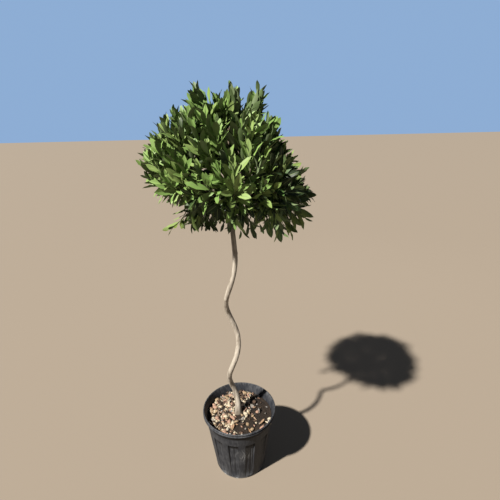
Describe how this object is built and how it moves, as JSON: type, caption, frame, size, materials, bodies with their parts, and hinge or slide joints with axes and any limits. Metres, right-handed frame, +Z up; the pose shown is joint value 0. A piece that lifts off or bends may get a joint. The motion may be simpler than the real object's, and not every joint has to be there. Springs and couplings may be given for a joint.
{
  "type": "potted bay ball topiary",
  "caption": "Evergreen bay trained as a dense ball of upright leafy shoots on a bare corkscrew stem, standing in a round tapered nursery pot filled with soil.",
  "frame": {"origin": "centre of the pot's flat underside", "axes": "+Z up from the ground through the crown; +X to the right and -Y towards the viewer in the pictured view"},
  "size_m": [0.5914, 0.5544, 1.5785],
  "materials": {
    "pot": "black moulded plastic, dusty and scuffed",
    "soil": "potting soil under bark chips, pebbles and dry leaves",
    "bark": "smooth pale grey bark",
    "leaves": "leathery dark green leaves with a soft gloss"
  },
  "bodies": {
    "root": {"pot": "pot", "soil": "soil", "trunk": "bark", "bough_right_back": "bark", "bough_back": "bark", "bough_left_back": "bark", "bough_left_front": "bark", "bough_front": "bark", "bough_right_front": "bark", "mass_top": "leaves", "mass_right_back": "leaves", "mass_back": "leaves", "mass_left_back": "leaves", "mass_left_front": "leaves", "mass_front": "leaves", "mass_right_front": "leaves"}
  },
  "joints": []
}
